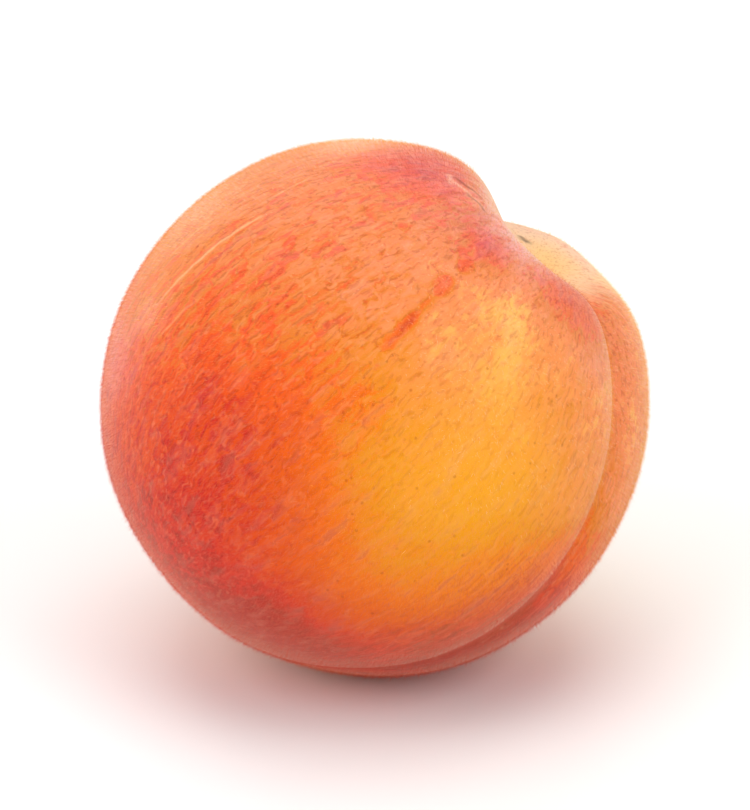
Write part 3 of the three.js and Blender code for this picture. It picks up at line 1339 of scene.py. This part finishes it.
@dataclass(frozen=True)
class Down:
    """The short hairs all over the skin, each a slim closed spike with its root in the skin."""

    seed: int = 5
    hairs: int = 184_000
    caps: float = 50.0  # degrees from either end that the two end pieces cover
    flank: float = 60.0  # degrees to either side of the suture that its own piece covers
    length: tuple[float, float] = (0.32 * MM, 0.75 * MM)
    long_length: tuple[float, float] = (0.84 * MM, 1.2075 * MM)
    long_share: float = 0.08
    thickness: tuple[float, float] = (0.022 * MM, 0.034 * MM)
    sunk: float = 0.07 * MM
    lean: tuple[float, float] = (15.0, 62.0)  # degrees from the skin's normal
    combed: float = 0.55  # how much the hairs lean alike, towards the tip
    clear_of_floor: float = 0.06 * MM
    bare_scar: float = 2.6 * MM
    bare_hollow: tuple[float, float] = (0.02, 0.4)  # of the cavity's depth, over which the down thins out
    tone_spread: float = 0.12  # in ripeness, by which hairs side by side differ
    hollow_paler: float = 0.6  # in ripeness, by which they look less ripe in the cavity
    tones: tuple[Tone, ...] = (
        Tone("cream_down", "fbdcae", up_to=0.02),
        Tone("straw_down", "f2b048", up_to=0.22),
        Tone("peach_down", "ec9250", up_to=0.5),
        Tone("rose_down", "d86650"),
    )

    def zones_of(self, ways: Array) -> Array:
        """Sorts the hairs into zones.

        Args:
            ways: Directions from the fruit's centre to their roots.

        Returns:
            The name of each hair's zone.
        """
        from_stem, turn = angle_from_stem(ways), np.degrees(angle_around(ways))
        cases = {
            Zone.STEM_END: from_stem < self.caps,
            Zone.BLOSSOM_END: from_stem > 180 - self.caps,
            Zone.SUTURE_SIDE: np.abs(turn) < self.flank,
            Zone.FRONT_CHEEK: turn < 0,
        }
        names = [zone.value for zone in cases]
        return np.select(list(cases.values()), names, Zone.BACK_CHEEK.value)

    def roots(self, skin: Skin, draw: np.random.Generator) -> dict[str, Array]:
        """Draws the hairs' roots evenly over the skin.

        Args:
            skin: The skin that the hairs grow on.
            draw: The source of every random number.

        Returns:
            Each root's place, normal, way from the fruit's centre and direction to the tip.
        """
        grid = {"place": skin.points, "normal": skin.normals, "way": skin.ways, "fruit": skin.fruit}
        grid["comb"] = unit(np.gradient(skin.points, axis=0))
        corners = {}
        for name, values in grid.items():
            here, right = values[:-1], np.roll(values, -1, axis=1)[:-1]
            below, across = values[1:], np.roll(values, -1, axis=1)[1:]
            corners[name] = np.stack([here, below, across, right], axis=2).reshape(-1, 4, 3)
        a, b, c, d = np.moveaxis(corners["place"], 1, 0)
        area = np.linalg.norm(np.cross(c - a, d - b), axis=-1)
        fruit, way = corners["fruit"][:, 0], corners["way"][:, 0]
        thick = area * (1 - smooth_step(skin.form.hollow_at(way, fruit), *self.bare_hollow))
        thick[(way[:, 2] > 0) & (off_axis(fruit) < self.bare_scar)] = 0
        spread = (np.arange(self.hairs) + draw.random(self.hairs)) / self.hairs
        face = np.searchsorted(np.cumsum(thick) / thick.sum(), spread).clip(0, len(area) - 1)
        u, v = draw.random((2, self.hairs, 1))
        weights = ((1 - u) * (1 - v), (1 - u) * v, u * v, u * (1 - v))
        found = {}
        for name, values in corners.items():
            found[name] = sum(w * values[face, k] for k, w in enumerate(weights))
        return found

    def spikes(self, roots: dict[str, Array], draw: np.random.Generator) -> Array:
        """Draws each hair's length, thickness and lean.

        Args:
            roots: What roots() found.
            draw: The source of every random number.

        Returns:
            Four points for each hair, in metres: three at its foot, and its tip.
        """
        count = (self.hairs, 1)
        normal = unit(roots["normal"])
        stray = flattened(draw.normal(size=(self.hairs, 3)), normal)
        flow = unit(self.combed * flattened(roots["comb"], normal) + (1 - self.combed) * stray)
        lean = np.radians(draw.uniform(*self.lean, count))
        along = normal * np.cos(lean) + flow * np.sin(lean)
        length = draw.uniform(*self.length, count)
        is_long = draw.random(count) < self.long_share
        length = np.where(is_long, draw.uniform(*self.long_length, count), length)
        side = unit(np.cross(along, stray))
        other = np.cross(along, side)
        radius = draw.uniform(*self.thickness, count) / math.sqrt(3)
        foot = roots["place"] - along * self.sunk
        spin = draw.uniform(0, 2 * math.pi, count)
        turns = [spin + corner * 2 * math.pi / 3 for corner in range(3)]
        feet = [foot + radius * (side * np.cos(turn) + other * np.sin(turn)) for turn in turns]
        return np.stack([*feet, roots["place"] + along * length], axis=1)

    def tone_numbers(self, skin: Skin, roots: dict[str, Array], draw: np.random.Generator) -> Array:
        """Chooses each hair's tone by how ripe the skin under it is.

        Args:
            skin: The skin that the hairs grow on.
            roots: What roots() found.
            draw: The source of every random number.

        Returns:
            The number of each hair's tone.
        """
        way = unit(roots["way"])
        paler = self.hollow_paler * skin.form.hollow_at(way, roots["fruit"])
        ripe = skin.finish.ripeness_at(way) - paler + draw.normal(0, self.tone_spread, self.hairs)
        return np.searchsorted([tone.up_to for tone in self.tones], ripe.clip(0, 1))

    def piece(
        self, name: str, hairs: Array, tones: Array, shades: list[bpy.types.Material]
    ) -> bpy.types.Object:
        """Makes one piece of the down and dresses it.

        Args:
            name: The piece's name.
            hairs: Four points for each of its hairs.
            tones: The number of each hair's tone.
            shades: The tones' materials.

        Returns:
            The piece.
        """
        spike = np.array([[0, 1, 3], [1, 2, 3], [2, 0, 3], [0, 2, 1]])
        faces = np.arange(len(hairs))[:, None, None] * 4 + spike
        piece = new_object(name, hairs.reshape(-1, 3), faces.reshape(-1, 3))
        for shade in shades:
            piece.data.materials.append(shade)
        piece.data.polygons.foreach_set("material_index", np.repeat(tones, len(spike)).astype(np.int32))
        piece.data.shade_flat()
        piece.visible_shadow = False  # such fine hairs let the light through
        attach(piece, BODY)
        return piece

    def build(self, skin: Skin) -> list[bpy.types.Object]:
        """Grows the down.

        Args:
            skin: The skin that the hairs grow on.

        Returns:
            One piece for each zone.
        """
        draw = np.random.default_rng(self.seed)
        roots = self.roots(skin, draw)
        hairs = self.spikes(roots, draw)
        tones = self.tone_numbers(skin, roots, draw)
        zones = self.zones_of(unit(roots["way"]))
        kept = hairs[..., 2].min(axis=1) > self.clear_of_floor
        shades = [tone.material() for tone in self.tones]
        pieces = []
        for zone in Zone:
            mine = kept & (zones == zone.value)
            pieces.append(self.piece(zone.value, hairs[mine], tones[mine], shades))
        return pieces


# ---------------------------------------------------------------------------------------------------
# Studio
# ---------------------------------------------------------------------------------------------------


@dataclass(frozen=True)
class Softbox:
    """A square soft light that faces the fruit."""

    name: str
    place: tuple[float, float, float]
    side: float
    power: float
    tint: str = "ffffff"

    def build(self, target: Vector) -> None:
        """Hangs the light in the scene.

        Args:
            target: The point that it faces.
        """
        lamp = bpy.data.lights.new(self.name, "AREA")
        lamp.size, lamp.energy, lamp.color = self.side, self.power, colour(self.tint)[:3]
        holder = bpy.data.objects.new(self.name, lamp)
        holder.location = self.place
        holder.rotation_euler = (target - Vector(self.place)).to_track_quat("-Z", "Y").to_euler()
        bpy.context.scene.collection.objects.link(holder)


@dataclass(frozen=True)
class Studio:
    """A pale floor, soft light and the camera."""

    floor_side: float = 8.0
    floor_drop: float = 0.05 * MM
    floor_finish: PlainFinish = PlainFinish("pale_floor", "f9f8f7")
    surround: float = 0.34  # how bright the air around is
    softboxes: tuple[Softbox, ...] = (
        Softbox("key_light", (-1.4, -1.2, 1.6), 1.6, 18.0),
        Softbox("fill_light", (1.6, -1.0, 1.4), 1.6, 18.0),
        Softbox("top_light", (0.0, -0.1, 2.0), 1.6, 19.0),
        Softbox("back_light", (-0.3, 1.7, 1.3), 1.6, 12.0),
        Softbox("side_light", (-2.0, -0.2, 0.7), 1.2, 6.5),
    )
    distance: float = 1.0
    elevation: float = 25.0
    picture_height: float = 108.0 * MM  # of the view at the fruit
    sensor: float = 36.0
    clip: tuple[float, float] = (0.01, 50.0)

    def build(self, target: Vector) -> None:
        """Sets up everything round the fruit.

        Args:
            target: The middle of the fruit.
        """
        half = self.floor_side / 2
        corners = [(-half, -half), (half, -half), (half, half), (-half, half)]
        flat = np.array([(x, y, -self.floor_drop) for x, y in corners])
        floor = new_object("studio_floor", flat, np.arange(len(corners))[None, :])
        floor.data.materials.append(self.floor_finish.material())
        air = bpy.data.worlds.new("studio_air")
        air.use_nodes = True
        background = air.node_tree.nodes["Background"].inputs
        background["Strength"].default_value = self.surround
        background["Color"].default_value = colour("ffffff")
        bpy.context.scene.world = air
        for softbox in self.softboxes:
            softbox.build(target)
        self.build_camera(target)
        bpy.context.scene.view_settings.view_transform = "Standard"

    def build_camera(self, target: Vector) -> None:
        """Aims a long lens from the front, a little above.

        Args:
            target: The point that it looks at.
        """
        lens = bpy.data.cameras.new("camera")
        lens.sensor_width = self.sensor
        lens.lens = self.sensor * self.distance / self.picture_height
        lens.clip_start, lens.clip_end = self.clip
        camera = bpy.data.objects.new("camera", lens)
        tilt = math.radians(self.elevation)
        back = Vector((0, -math.cos(tilt), math.sin(tilt)))
        camera.location = target + back * self.distance
        camera.rotation_euler = (-back).to_track_quat("-Z", "Y").to_euler()
        bpy.context.scene.collection.objects.link(camera)
        bpy.context.scene.camera = camera


def main() -> None:
    """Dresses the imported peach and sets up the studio."""
    logging.basicConfig(level=logging.INFO, format="%(message)s")
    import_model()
    skin = Skin()
    for piece in (skin.build(), *Down().build(skin)):
        log.info("%s: %d faces", piece.name, len(piece.data.polygons))
    low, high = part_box(NODE)
    Studio().build((low + high) / 2)


if __name__ == "__main__":
    main()
